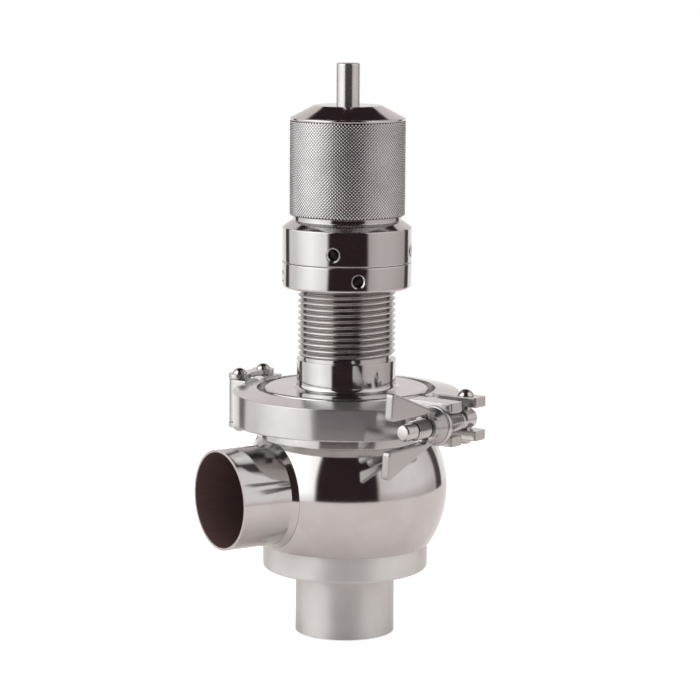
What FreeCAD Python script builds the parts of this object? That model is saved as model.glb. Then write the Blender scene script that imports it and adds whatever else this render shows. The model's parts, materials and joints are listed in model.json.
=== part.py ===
"""Overflow relief valve with a ball chamber, a clamped bonnet and a threaded adjusting cap.

Millimetres. The origin is the centre of the bottom port's end face, +Z runs up the stem and the
side port points along -X.
"""
import FreeCAD, Part
import math
import os

import Sketcher

DIMENSIONS = [
    # ports and ball
    ("tube_od", 51.0, "outside diameter of both port tubes"),
    ("tube_wall", 1.5, "wall of both port tubes"),
    ("inlet_length", 33.2, "length of the bottom port tube"),
    ("outlet_reach", 75.0, "stem axis to the mouth of the side port"),
    ("weld_leg", 2.0, "leg of the weld where the side port meets the ball"),
    ("seat_ring_od", 85.0, "outside diameter of the seat ring"),
    ("seat_ring_height", 13.5, "height of the seat ring"),
    ("seat_bore", 45.8, "bore of the seat ring"),
    ("seat_bevel", 0.6, "bevel at the top of the seat ring's bore"),
    ("seat_ring_round", 2.0, "round of the seat ring's bottom edge"),
    ("ball_od", 104.8, "outside diameter of the ball"),
    ("ball_wall", 3.0, "wall of the ball"),
    ("ball_rise", 28.9, "seat ring's top up to the ball's centre"),
    ("ball_crown", 26.9, "ball's centre up to the weld at the neck"),
    # clamped flanges
    ("neck_od", 91.0, "outside diameter of the neck under the clamp"),
    ("neck_bore", 82.8, "bore of the neck"),
    ("neck_height", 13.5, "ball's crown up to the gasket"),
    ("flange_od", 104.0, "outside diameter of both clamped flanges"),
    ("flange_rim", 2.9, "height of a flange's straight rim"),
    ("flange_slope", 20.0, "slope of a flange's clamped face, degrees"),
    ("gasket_thickness", 1.7, "gasket between the flanges"),
    # bonnet
    ("disc_od", 84.4, "raised disc of the bonnet"),
    ("disc_height", 9.6, "gasket up to the top of the disc"),
    ("disc_round", 1.6, "round of the disc's top edge"),
    ("casing_od", 50.9, "smooth foot of the bonnet tube"),
    ("casing_foot", 14.6, "height of the smooth foot"),
    ("casing_cove", 2.4, "cove between disc and foot"),
    ("thread_root", 46.4, "root diameter of the adjusting thread"),
    ("casing_bore", 39.0, "spring chamber in the bonnet"),
    ("casing_top", 98.7, "disc's top up to the end of the bonnet tube"),
    ("floor_rise", 3.7, "disc's top up to the floor of the spring chamber"),
    ("floor_lip", 4.0, "floor left above the stem seal"),
    ("boss_od", 30.0, "boss under the bonnet"),
    ("boss_drop", 6.7, "gasket down to the boss's lower end"),
    # stem and plug
    ("stem_od", 12.0, "stem"),
    ("stem_tail", 10.0, "stem through the plug"),
    ("stem_reach", 21.3, "stem above the cap"),
    ("stem_round", 0.9, "round of the stem's top edge"),
    ("plug_od", 62.0, "valve plug"),
    ("plug_hub", 24.0, "hub of the plug inside its seal"),
    ("plug_lip", 1.5, "plug's lip above the seat"),
    ("plug_rim", 5.8, "height of the plug's rim"),
    ("plug_height", 11.3, "seat up to the stem's shoulder"),
    ("seal_od", 58.0, "flat seal of the plug"),
    ("seal_thickness", 4.0, "thickness of the flat seal"),
    ("keeper_od", 43.0, "disc that keeps the seal in the plug"),
    ("keeper_height", 3.0, "height of that disc"),
    ("keeper_bevel", 1.0, "bevel of its upper edge"),
    ("nut_flats", 17.0, "plug nut across its flats"),
    ("nut_height", 5.0, "height of the plug nut"),
    ("stem_tip", 1.2, "stem below the plug nut"),
    ("bush_od", 19.0, "stem bushes and stem seal"),
    ("bush_flange_od", 24.0, "flange of the guide bush"),
    ("bush_flange", 1.5, "height of the guide bush's flange"),
    ("guide_length", 11.0, "guide bush inside the boss"),
    # spring and its plates
    ("clip_rise", 2.0, "chamber floor up to the snap ring"),
    ("clip_height", 1.6, "height of the snap ring"),
    ("clip_od", 18.0, "snap ring"),
    ("clip_groove", 10.7, "groove of the snap ring in the stem"),
    ("clip_opening", 5.0, "opening of the snap ring"),
    ("plate_od", 37.8, "both spring plates"),
    ("plate_height", 5.0, "height of a spring plate"),
    ("spigot_od", 25.2, "spigot of a spring plate inside the spring"),
    ("spigot_height", 3.8, "height of that spigot"),
    ("wire", 5.0, "spring wire at the closed ends"),
    ("coil_wire", 4.8, "spring wire in the free turns"),
    ("spring_mean", 30.8, "mean diameter of the spring"),
    ("spring_turns", 7.0, "free turns of the spring"),
    ("washer_od", 38.0, "thrust washer"),
    ("washer_bore", 16.0, "bore of the thrust washer"),
    ("washer_height", 2.0, "height of the thrust washer"),
    # rings and cap on the thread
    ("ring_od", 66.0, "lock ring and the cap's ring"),
    ("lock_rise", 51.6, "disc's top up to the lock ring"),
    ("lock_height", 13.1, "height of the lock ring"),
    ("lock_round", 1.6, "round of the lock ring's bottom edge"),
    ("ring_round", 0.5, "round of the other ring edges"),
    ("liner_wall", 3.8, "rim left round the lock washer in the top of the lock ring"),
    ("liner_height", 1.2, "height of the lock washer"),
    ("cap_ring", 17.5, "height of the cap's ring"),
    ("cap_shoulder", 3.7, "height of the cap's shoulder"),
    ("cap_neck_od", 55.8, "neck of the cap"),
    ("cap_neck", 2.4, "height of the neck"),
    ("grip_od", 57.7, "root of the knurl on the cap"),
    ("grip_height", 49.4, "height of the knurled grip"),
    ("cap_cone", 6.1, "height of the cap's cone"),
    ("cap_flat", 34.2, "flat top of the cap"),
    ("cap_roof", 53.9, "cap's lower face up to its inner roof"),
    ("cap_bush", 12.0, "length of the bush in the cap"),
    ("pin_hole", 5.2, "holes for the pin spanner"),
    ("pin_depth", 5.0, "depth of those holes"),
    ("pin_bevel", 0.9, "bevel at their mouths"),
    ("drill_point", 30.0, "slope of the drill's point at their bottom, degrees"),
    ("pin_count", 4.0, "holes in each ring"),
    ("lock_pin_rise", 6.1, "lock ring's lower face up to its holes"),
    ("cap_pin_rise", 6.2, "cap's lower face up to its holes"),
    ("lock_pin_angle", 67.6, "heading of a hole in the lock ring, degrees"),
    ("cap_pin_angle", 45.0, "heading of a hole in the cap, degrees"),
    # clamp
    ("clamp_heading", -69.1, "heading of the clamp's bolt side, degrees"),
    ("band_od", 116.0, "outside diameter of the clamp band"),
    ("band_height", 16.1, "height of the band's outer face"),
    ("clamp_play", 0.3, "neck to the clamp's inner edge"),
    ("band_crown", 20.3, "height of the clamp at its inner edge"),
    ("groove_od", 105.4, "bottom of the groove in the band"),
    ("split_gap", 5.7, "bolt side: split plane to each half"),
    ("hinge_gap", 2.5, "hinge side: split plane to each half"),
    ("lug_width", 9.6, "width of a lug along the bolt"),
    ("lug_end", 9.7, "bolt's axis to the end of the lugs"),
    ("lug_root", 50.0, "stem axis to the lugs' root inside the band"),
    ("lug_height", 4.85, "height of a lug"),
    ("lug_slot", 12.1, "slot between upper and lower lug"),
    ("lug_lift", 0.45, "clamp's middle up to the middle of the slot"),
    ("lug_round", 1.6, "round of the lugs' ends"),
    ("hinge_reach", 62.0, "stem axis to the hinge pins, along the clamp"),
    ("hinge_half", 9.9, "split plane to each hinge pin"),
    ("ear_root", 54.0, "stem axis to the ears' root inside the band"),
    ("ear_od", 11.0, "ears of the halves round the hinge pins"),
    ("ear_height", 22.4, "height of an ear"),
    ("ear_drop", 1.85, "clamp's middle down to the middle of the ears"),
    ("hinge_pin", 5.0, "hinge pins"),
    ("link_height", 2.5, "height of a hinge link"),
    ("link_width", 11.4, "width of a hinge link at its ends"),
    ("link_waist", 7.0, "width of a hinge link between its ends"),
    ("link_play", 0.4, "play between a link and the ears"),
    ("head_od", 7.8, "domed heads of the hinge pins"),
    ("head_height", 2.8, "height of those heads"),
    # swing bolt and wing nut
    ("bolt_gap", 8.6, "outer face of the band to the bolt's axis"),
    ("pivot_offset", 10.8, "split plane to the bolt's pivot"),
    ("pivot_pin", 6.0, "pivot pin of the bolt"),
    ("pivot_head", 8.6, "heads of the pivot pin"),
    ("pivot_head_height", 3.2, "height of those heads"),
    ("bolt_root", 8.2, "root diameter of the bolt's thread"),
    ("bolt_length", 54.4, "pivot to the free end of the bolt"),
    ("eye_od", 10.4, "eye of the bolt"),
    ("eye_front", 6.1, "pivot to the eye's shoulder"),
    ("eye_back", 5.0, "pivot to the back of the eye"),
    ("eye_bevel", 1.4, "bevel of the eye's front"),
    ("eye_back_bevel", 2.2, "bevel of the eye's back"),
    ("bolt_bevel", 0.7, "bevel of the bolt's free end"),
    ("collar_od", 20.3, "thrust collar under the wing nut"),
    ("collar_height", 2.2, "height of the collar"),
    ("nut_foot", 18.8, "foot of the wing nut"),
    ("nut_hub", 14.0, "hub of the wing nut"),
    ("nut_dome", 4.0, "height of the dome between foot and hub"),
    ("nut_length", 7.2, "length of the hub with its dome"),
    ("wing_thickness", 4.8, "thickness of a wing"),
    ("wing_tip", 41.3, "collar to the end of the wings"),
    ("wing_span", 44.4, "span over the wings"),
    ("wing_gap", 15.0, "gap between the wings at their ends"),
    ("wing_tilt", -3.6, "tilt of the wings from upright, degrees"),
    ("wing_rise", 1.3, "nut's foot up to the wings' root"),
    ("wing_corner", 1.8, "corners of the wings"),
    ("wing_round", 1.0, "round along the edges of the wings"),
    # clearances
    ("running", 0.05, "radial or face clearance of parts that move"),
    ("fitted", 0.02, "clearance of parts that are pressed or clamped"),
    ("thread_gap", 0.18, "root cylinder to the bore that runs on it"),
]


class Size:
    """A length or angle: its value and the expression that gives it from the sheet."""

    def __init__(self, value, text):
        self.value = value
        self.text = text

    def joined(self, sign, other, value, swapped=False):
        text = other.text if isinstance(other, Size) else repr(float(other))
        first, second = (text, self.text) if swapped else (self.text, text)
        return Size(value, "(%s %s %s)" % (first, sign, second))

    def __add__(self, other):
        return self.joined("+", other, self.value + plain(other))

    def __radd__(self, other):
        return self.joined("+", other, self.value + plain(other))

    def __sub__(self, other):
        return self.joined("-", other, self.value - plain(other))

    def __rsub__(self, other):
        return self.joined("-", other, plain(other) - self.value, swapped=True)

    def __mul__(self, other):
        return self.joined("*", other, self.value * plain(other))

    def __rmul__(self, other):
        return self.joined("*", other, self.value * plain(other))

    def __truediv__(self, other):
        return self.joined("/", other, self.value / plain(other))

    def __neg__(self):
        return Size(-self.value, "(-1 * %s)" % self.text)


def plain(size):
    """The number behind a size or a number."""
    return size.value if isinstance(size, Size) else float(size)


def leg(long_side, short_side):
    """The other short side of a right triangle."""
    value = math.sqrt(plain(long_side) ** 2 - plain(short_side) ** 2)
    return Size(value, "sqrt(%s ^ 2 - %s ^ 2)" % (long_side.text, short_side.text))


def slope(run, angle):
    """How far a face at that angle from level rises over a run."""
    value = plain(run) * math.tan(math.radians(plain(angle)))
    return Size(value, "(%s * tan(%s * 1 deg))" % (run.text, angle.text))


doc = FreeCAD.newDocument("overflow_relief_valve")
sheet = doc.addObject("Spreadsheet::Sheet", "Dims")
for row, (alias, value, note) in enumerate(DIMENSIONS, 1):
    sheet.set("A%d" % row, alias)
    sheet.set("B%d" % row, str(value))
    sheet.set("C%d" % row, note)
    sheet.setAlias("B%d" % row, alias)
doc.recompute()
dim = {alias: Size(float(value), "Dims." + alias) for alias, value, note in DIMENSIONS}
nodes = []


def keep(thing, label):
    """Names a finished sub-part."""
    thing.Label = label
    nodes.append(thing)
    return thing


def bind(thing, path, size):
    """Sets a size of an object from the sheet."""
    thing.setExpression(path, size.text)


def origin_item(body, role):
    """A plane or axis of the body's own origin."""
    return next(item for item in body.Origin.OriginFeatures if item.Role == role)


def attach(thing, body, role, shift=None):
    """Lays a sketch or primitive on an origin plane, moved by up to three sizes."""
    thing.AttachmentSupport = (origin_item(body, role), [""])
    thing.MapMode = "FlatFace"
    for letter, size in zip("xyz", shift or ()):
        if isinstance(size, Size):
            bind(thing, "AttachmentOffset.Base." + letter, size)


def fix_point(sketch, geo, end, corner):
    """Holds one end of a sketch edge at its two sizes."""
    for kind, axis, size in (("DistanceX", -2, corner[0]), ("DistanceY", -1, corner[1])):
        value = plain(size)
        if not isinstance(size, Size) and value == 0:
            sketch.addConstraint(Sketcher.Constraint("PointOnObject", geo, end, axis))
            continue
        away = (-1, 1, geo, end) if value >= 0 else (geo, end, -1, 1)
        index = sketch.addConstraint(Sketcher.Constraint(kind, *away, abs(value)))
        if isinstance(size, Size):
            bind(sketch, "Constraints[%d]" % index, size if value >= 0 else -size)


def sketch_edge(here, there):
    """The edge from one corner to the next, with the numbers of its first and last ends."""
    start = FreeCAD.Vector(plain(here[0]), plain(here[1]), 0)
    stop = FreeCAD.Vector(plain(there[0]), plain(there[1]), 0)
    if len(here) == 2:
        return Part.LineSegment(start, stop), 1, 2
    radius, bend = here[2], here[3]
    chord = stop - start
    middle = (start + stop) * 0.5
    left = FreeCAD.Vector(-chord.y, chord.x, 0).normalize()
    rise = math.sqrt(max(plain(radius) ** 2 - (chord.Length / 2) ** 2, 0))
    centre = middle + left * rise * bend
    first, last = (start, stop) if bend > 0 else (stop, start)
    first_angle = math.atan2(first.y - centre.y, first.x - centre.x)
    last_angle = math.atan2(last.y - centre.y, last.x - centre.x)
    if last_angle < first_angle:
        last_angle += 2 * math.pi
    circle = Part.Circle(centre, FreeCAD.Vector(0, 0, 1), plain(radius))
    arc = Part.ArcOfCircle(circle, first_angle, last_angle)
    return (arc, 1, 2) if bend > 0 else (arc, 2, 1)


def outline(body, role, corners, shift=None):
    """A closed sketch through corners given as (across, up) or (across, up, radius, bend).

    The last two make the edge to the next corner an arc: bend 1 keeps its centre on the left of
    the way along the outline, and -1 on the right.
    """
    sketch = body.newObject("Sketcher::SketchObject", body.Name + "_outline")
    attach(sketch, body, role, shift)
    ends = []
    for index, here in enumerate(corners):
        edge, first, last = sketch_edge(here, corners[(index + 1) % len(corners)])
        geo = sketch.addGeometry(edge, False)
        ends.append((geo, first, last))
    for index, here in enumerate(corners):
        geo, first, last = ends[index]
        after, after_first, after_last = ends[(index + 1) % len(ends)]
        sketch.addConstraint(Sketcher.Constraint("Coincident", geo, last, after, after_first))
        fix_point(sketch, geo, first, here)
        if len(here) > 2:
            number = sketch.addConstraint(Sketcher.Constraint("Radius", geo, plain(here[2])))
            bind(sketch, "Constraints[%d]" % number, here[2])
    return sketch


def revolve(body, corners):
    """Turns an outline of (radius, height) corners round the body's Z axis."""
    sketch = outline(body, "XZ_Plane", corners)
    turned = body.newObject("PartDesign::Revolution", body.Name + "_turned")
    turned.Profile = sketch
    turned.ReferenceAxis = (sketch, ["V_Axis"])
    turned.Angle = 360
    return turned


def new_body(label):
    return keep(doc.addObject("PartDesign::Body", label), label)


def rims(feature, *places):
    """The names of the round edges at these (radius, height) places."""
    doc.recompute()
    names = []
    for number, edge in enumerate(feature.Shape.Edges, 1):
        curve = edge.Curve
        if not isinstance(curve, Part.Circle):
            continue
        for radius, height in places:
            near = abs(curve.Radius - plain(radius)) < 0.01 and abs(curve.Center.z - plain(height)) < 0.01
            if near:
                names.append("Edge%d" % number)
    return names


def round_edges(body, feature, names, size):
    """Rounds named edges of a feature."""
    fillet = body.newObject("PartDesign::Fillet", body.Name + "_round")
    fillet.Base = (feature, names)
    fillet.Radius = plain(size)
    bind(fillet, "Radius", size)
    return fillet


def turned_body(label, corners):
    """A sub-part that is only a turned outline."""
    body = new_body(label)
    revolve(body, corners)
    return body


def primitive(body, kind, role, shift, sizes):
    """An additive or subtractive primitive on an origin plane, with its sizes bound."""
    thing = body.newObject("PartDesign::" + kind, body.Name + "_" + kind.lower())
    attach(thing, body, role, shift)
    for path, size in sizes.items():
        bind(thing, path, size)
    return thing


def pad(body, role, corners, shift, height, middle=False):
    """Raises an outline by a height, or by half of it to each side."""
    sketch = outline(body, role, corners, shift)
    block = body.newObject("PartDesign::Pad", body.Name + "_pad")
    block.Profile = sketch
    block.Length = plain(height)
    bind(block, "Length", height)
    block.Midplane = middle
    return block


def cylinder(label, radius, height, place):
    """A plain cylinder that stands at a place given as three sizes."""
    thing = doc.addObject("Part::Cylinder", label)
    bind(thing, "Radius", radius)
    bind(thing, "Height", height)
    for letter, size in zip("xyz", place):
        if isinstance(size, Size):
            bind(thing, "Placement.Base." + letter, size)
    return thing


# heights along the stem
seat = dim["inlet_length"] + dim["seat_ring_height"]
ball_centre = seat + dim["ball_rise"]
crown = ball_centre + dim["ball_crown"]
gasket_low = crown + dim["neck_height"]
gasket_high = gasket_low + dim["gasket_thickness"]
disc_top = gasket_high + dim["disc_height"]
foot_top = disc_top + dim["casing_foot"]
casing_end = disc_top + dim["casing_top"]
chamber_floor = disc_top + dim["floor_rise"]
boss_low = gasket_high - dim["boss_drop"]
seal_top = chamber_floor - dim["floor_lip"]
clip_low = chamber_floor + dim["clip_rise"]
plate_low = clip_low + dim["clip_height"]
spring_low = plate_low + dim["plate_height"]
lock_low = disc_top + dim["lock_rise"]
lock_high = lock_low + dim["lock_height"]
cap_low = lock_high + 2 * dim["running"]
cap_ring_high = cap_low + dim["cap_ring"]
cap_neck_low = cap_ring_high + dim["cap_shoulder"]
grip_low = cap_neck_low + dim["cap_neck"]
grip_high = grip_low + dim["grip_height"]
cap_high = grip_high + dim["cap_cone"]
roof = cap_low + dim["cap_roof"]
washer_high = roof - dim["running"]
washer_low = washer_high - dim["washer_height"]
spring_high = washer_low - dim["plate_height"]
stem_high = cap_high + dim["stem_reach"]
stem_shoulder = seat + dim["plug_height"]
keeper_low = seat - dim["keeper_height"]
nut_low = keeper_low - dim["nut_height"]
clamp_middle = (gasket_low + gasket_high) / 2

# radii about the stem
tube_radius = dim["tube_od"] / 2
bore_radius = tube_radius - dim["tube_wall"]
ball_radius = dim["ball_od"] / 2
ball_inner = ball_radius - dim["ball_wall"]
neck_radius = dim["neck_od"] / 2
neck_bore = dim["neck_bore"] / 2
flange_radius = dim["flange_od"] / 2
disc_radius = dim["disc_od"] / 2
stem_radius = dim["stem_od"] / 2
stem_hole = stem_radius + dim["running"]
tail_radius = dim["stem_tail"] / 2
bush_radius = dim["bush_od"] / 2
bush_fit = bush_radius - dim["fitted"]
thread_radius = dim["thread_root"] / 2
thread_bore = thread_radius + dim["thread_gap"]
ring_radius = dim["ring_od"] / 2
spigot_radius = dim["spigot_od"] / 2
plate_radius = dim["plate_od"] / 2


def ports():
    """The two port tubes."""
    turned_body("bottom_port_tube", [
        (bore_radius, 0), (tube_radius, 0),
        (tube_radius, dim["inlet_length"]), (bore_radius, dim["inlet_length"])])
    weld_radius = tube_radius + dim["weld_leg"]
    weld_start = leg(ball_radius, weld_radius)
    inner_start = leg(ball_radius, bore_radius)
    side = turned_body("side_port_tube", [
        (bore_radius, inner_start, ball_radius, -1),
        (weld_radius, weld_start),
        (tube_radius, leg(ball_radius, tube_radius) + dim["weld_leg"]),
        (tube_radius, dim["outlet_reach"]), (bore_radius, dim["outlet_reach"])])
    side.Placement = FreeCAD.Placement(
        FreeCAD.Vector(0, 0, ball_centre.value), FreeCAD.Rotation(FreeCAD.Vector(0, 1, 0), -90))
    bind(side, "Placement.Base.z", ball_centre)


def seat_ring():
    """The flat ring under the ball, whose top face is the seat."""
    body = new_body("seat_ring")
    low, edge, bore = dim["inlet_length"], dim["seat_ring_od"] / 2, dim["seat_bore"] / 2
    turned = revolve(body, [
        (bore, low), (edge, low), (edge, seat),
        (bore + dim["seat_bevel"], seat), (bore, seat - dim["seat_bevel"])])
    round_edges(body, turned, rims(turned, (edge, low)), dim["seat_ring_round"])


def ball_body():
    """The hollow ball, open to the seat, the neck and the side port."""
    body = new_body("ball_body")
    drop, rise = dim["ball_rise"], dim["ball_crown"]
    revolve(body, [
        (leg(ball_inner, drop), seat), (leg(ball_radius, drop), seat, ball_radius, 1),
        (leg(ball_radius, rise), crown), (leg(ball_inner, rise), crown, ball_inner, -1)])
    mouth = ball_radius + dim["ball_wall"]
    primitive(body, "SubtractiveCylinder", "YZ_Plane", (None, ball_centre, -mouth), {
        "Radius": bore_radius, "Height": mouth - leg(ball_inner, bore_radius) + dim["ball_wall"]})


def body_flange():
    """The neck and flange that are welded to the ball."""
    rim_low = gasket_low - dim["flange_rim"]
    turned_body("body_flange", [
        (neck_bore, crown), (neck_radius, crown),
        (neck_radius, rim_low - slope(flange_radius - neck_radius, dim["flange_slope"])),
        (flange_radius, rim_low), (flange_radius, gasket_low), (neck_bore, gasket_low)])
    turned_body("body_gasket", [
        (neck_bore, gasket_low), (flange_radius - dim["fitted"], gasket_low),
        (flange_radius - dim["fitted"], gasket_high), (neck_bore, gasket_high)])


def bonnet():
    """The upper casing: clamped flange, raised disc, smooth foot, thread and spring chamber."""
    body = new_body("bonnet")
    rim_high = gasket_high + dim["flange_rim"]
    boss, foot, chamber = dim["boss_od"] / 2, dim["casing_od"] / 2, dim["casing_bore"] / 2
    stem_way = stem_hole + dim["running"]
    turned = revolve(body, [
        (bush_radius, boss_low), (boss, boss_low), (boss, gasket_high),
        (flange_radius, gasket_high), (flange_radius, rim_high),
        (disc_radius, rim_high + slope(flange_radius - disc_radius, dim["flange_slope"])),
        (disc_radius, disc_top), (foot, disc_top), (foot, foot_top), (thread_radius, foot_top),
        (thread_radius, casing_end), (chamber, casing_end), (chamber, chamber_floor),
        (stem_way, chamber_floor), (stem_way, seal_top), (bush_radius, seal_top)])
    edge = round_edges(body, turned, rims(turned, (disc_radius, disc_top)), dim["disc_round"])
    round_edges(body, edge, rims(edge, (foot, disc_top)), dim["casing_cove"])


def guides():
    """The bush and the seal that guide the stem in the bonnet's boss."""
    bush_top = boss_low + dim["guide_length"]
    flange, flange_low = dim["bush_flange_od"] / 2, boss_low - dim["bush_flange"]
    turned_body("guide_bush", [
        (stem_hole, flange_low), (flange, flange_low), (flange, boss_low),
        (bush_fit, boss_low), (bush_fit, bush_top), (stem_hole, bush_top)])
    turned_body("stem_seal", [
        (stem_hole, bush_top), (bush_fit, bush_top), (bush_fit, seal_top), (stem_hole, seal_top)])


def stem():
    """The stem with its tail through the plug and its groove for the snap ring."""
    body = new_body("stem")
    groove = dim["clip_groove"] / 2
    turned = revolve(body, [
        (0, nut_low - dim["stem_tip"]), (tail_radius, nut_low - dim["stem_tip"]),
        (tail_radius, stem_shoulder), (stem_radius, stem_shoulder), (stem_radius, clip_low),
        (groove, clip_low), (groove, plate_low), (stem_radius, plate_low),
        (stem_radius, stem_high), (0, stem_high)])
    round_edges(body, turned, rims(turned, (stem_radius, stem_high)), dim["stem_round"])


def plug():
    """The plug with its flat seal, the disc that keeps the seal, and the nut on the stem."""
    hub, edge, rim = dim["plug_hub"] / 2, dim["seal_od"] / 2, dim["plug_od"] / 2
    hole = tail_radius + dim["fitted"]
    seal_low, seal_high = seat + dim["running"], seat + dim["seal_thickness"]
    lip_low = seat + dim["plug_lip"]
    turned_body("valve_plug", [
        (hole, seat), (hub, seat), (hub, seal_high), (edge, seal_high), (edge, lip_low),
        (rim, lip_low), (rim, lip_low + dim["plug_rim"]), (hub, stem_shoulder), (hole, stem_shoulder)])
    turned_body("plug_seal", [
        (hub + dim["fitted"], seal_low), (edge - dim["fitted"], seal_low),
        (edge - dim["fitted"], seal_high), (hub + dim["fitted"], seal_high)])
    keeper = dim["keeper_od"] / 2
    turned_body("seal_keeper", [
        (hole, keeper_low), (keeper, keeper_low),
        (keeper, seat - dim["keeper_bevel"]), (keeper - dim["keeper_bevel"], seat),
        (hole, seat)])
    blank = doc.addObject("Part::Prism", "plug_nut_blank")
    blank.Polygon = 6
    bind(blank, "Circumradius", dim["nut_flats"] / math.sqrt(3))
    bind(blank, "Height", dim["nut_height"])
    bind(blank, "Placement.Base.z", nut_low)
    bore = cylinder("plug_nut_bore", hole, dim["nut_height"], (None, None, nut_low))
    nut = keep(doc.addObject("Part::Cut", "plug_nut"), "plug_nut")
    nut.Base, nut.Tool = blank, bore


def snap_ring():
    """The open ring in the stem's groove, which carries the lower spring plate."""
    body = new_body("snap_ring")
    inner, outer = dim["clip_groove"] / 2 + dim["fitted"], dim["clip_od"] / 2
    revolve(body, [(inner, clip_low), (outer, clip_low), (outer, plate_low), (inner, plate_low)])
    half = dim["clip_opening"] / 2
    sketch = outline(body, "XY_Plane", [(0, -half), (outer + half, -half), (outer + half, half), (0, half)],
                     (None, None, clip_low))
    slot = body.newObject("PartDesign::Pocket", "snap_ring_slot")
    slot.Profile = sketch
    slot.Length = dim["clip_height"].value
    bind(slot, "Length", dim["clip_height"])
    slot.Reversed = True


def spring():
    """The spring between its plates: a closed ring at each end and the free turns between."""
    body = new_body("spring")
    half = dim["wire"] / 2
    middle = dim["spring_mean"] / 2
    low, high = spring_low + half, spring_high - half
    for height in (low, high):
        ring = outline(body, "XZ_Plane", [
            (middle - half, height - half), (middle + half, height - half),
            (middle + half, height + half), (middle - half, height + half)])
        end = body.newObject("PartDesign::Revolution", "spring_end")
        end.Profile = ring
        end.ReferenceAxis = (ring, ["V_Axis"])
        end.Angle = 360
    core = dim["coil_wire"] / 2
    wire = outline(body, "XZ_Plane", [
        (middle - core, low - core), (middle + core, low - core),
        (middle + core, low + core), (middle - core, low + core)])
    coil = body.newObject("PartDesign::AdditiveHelix", "spring_coil")
    coil.Profile = wire
    coil.ReferenceAxis = (wire, ["V_Axis"])
    coil.Mode = "height-turns-angle"
    coil.Height = (high - low).value
    coil.Turns = dim["spring_turns"].value
    bind(coil, "Height", high - low)
    bind(coil, "Turns", dim["spring_turns"])


def spring_plates():
    """The plates above and below the spring, and the thrust washer under the cap's roof."""
    hole = stem_hole + dim["running"]
    turned_body("lower_spring_plate", [
        (hole, plate_low), (plate_radius, plate_low), (plate_radius, spring_low),
        (spigot_radius, spring_low), (spigot_radius, spring_low + dim["spigot_height"]),
        (hole, spring_low + dim["spigot_height"])])
    turned_body("upper_spring_plate", [
        (hole, spring_high - dim["spigot_height"]), (spigot_radius, spring_high - dim["spigot_height"]),
        (spigot_radius, spring_high), (plate_radius, spring_high), (plate_radius, washer_low),
        (hole, washer_low)])
    bore, edge = dim["washer_bore"] / 2, dim["washer_od"] / 2
    turned_body("thrust_washer", [
        (bore, washer_low), (edge, washer_low), (edge, washer_high), (bore, washer_high)])


def pin_holes(body, base, rise):
    """Blind spanner holes round a ring, each with a drill's point and a bevelled mouth."""
    drill, bevel = dim["pin_hole"] / 2, dim["pin_bevel"]
    bottom = ring_radius - dim["pin_depth"]
    profile = outline(body, "XZ_Plane", [
        (bottom - slope(drill, dim["drill_point"]), 0), (ring_radius + bevel, 0),
        (ring_radius + bevel, drill + 2 * bevel), (ring_radius - bevel, drill), (bottom, drill)],
        (None, rise, None))
    hole = body.newObject("PartDesign::Groove", body.Name + "_hole")
    hole.Profile = profile
    hole.ReferenceAxis = (profile, ["H_Axis"])
    hole.Angle = 360
    pattern = body.newObject("PartDesign::PolarPattern", body.Name + "_holes")
    pattern.Originals = [hole]
    pattern.Axis = (origin_item(body, "Z_Axis"), [""])
    pattern.Angle = 360
    pattern.Occurrences = int(dim["pin_count"].value)
    bind(pattern, "Occurrences", dim["pin_count"])
    body.Tip = pattern
    doc.recompute()
    if not body.Shape.Volume < base.Shape.Volume:
        raise RuntimeError("the pin holes of %s cut nothing" % body.Label)


def turn_about_stem(body, heading):
    """Turns a sub-part about the stem to its heading in degrees."""
    body.Placement = FreeCAD.Placement(
        FreeCAD.Vector(0, 0, 0), FreeCAD.Rotation(FreeCAD.Vector(0, 0, 1), heading.value))


def lock_ring():
    """The ring that locks the cap, with the washer let into its top."""
    body = new_body("lock_ring")
    liner, liner_low = ring_radius - dim["liner_wall"], lock_high - dim["liner_height"]
    turned = revolve(body, [
        (thread_bore, lock_low), (ring_radius, lock_low), (ring_radius, lock_high),
        (liner, lock_high), (liner, liner_low), (thread_bore, liner_low)])
    lower = round_edges(body, turned, rims(turned, (ring_radius, lock_low)), dim["lock_round"])
    upper = round_edges(body, lower, rims(lower, (ring_radius, lock_high)), dim["ring_round"])
    doc.recompute()
    pin_holes(body, upper, lock_low + dim["lock_pin_rise"])
    turn_about_stem(body, dim["lock_pin_angle"])
    turned_body("lock_washer", [
        (thread_bore, liner_low + dim["running"]), (liner - dim["running"], liner_low + dim["running"]),
        (liner - dim["running"], lock_high), (thread_bore, lock_high)])


def adjusting_cap():
    """The cap: ring, shoulder, neck, grip and cone in one, with its bush for the stem."""
    body = new_body("adjusting_cap")
    neck, grip = dim["cap_neck_od"] / 2, dim["grip_od"] / 2
    bush_high = roof + dim["cap_bush"]
    stem_way = stem_hole + dim["running"]
    turned = revolve(body, [
        (thread_bore, cap_low), (ring_radius, cap_low), (ring_radius, cap_ring_high),
        (neck, cap_neck_low), (neck, grip_low), (grip, grip_low), (grip, grip_high),
        (dim["cap_flat"] / 2, cap_high), (stem_way, cap_high), (stem_way, bush_high),
        (bush_radius, bush_high), (bush_radius, roof), (thread_bore, roof)])
    soft = round_edges(body, turned, rims(turned, (ring_radius, cap_low), (ring_radius, cap_ring_high)),
                       dim["ring_round"])
    doc.recompute()
    pin_holes(body, soft, cap_low + dim["cap_pin_rise"])
    turn_about_stem(body, dim["cap_pin_angle"])
    turned_body("stem_bush", [
        (stem_hole, roof), (bush_fit, roof), (bush_fit, bush_high), (stem_hole, bush_high)])


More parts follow.
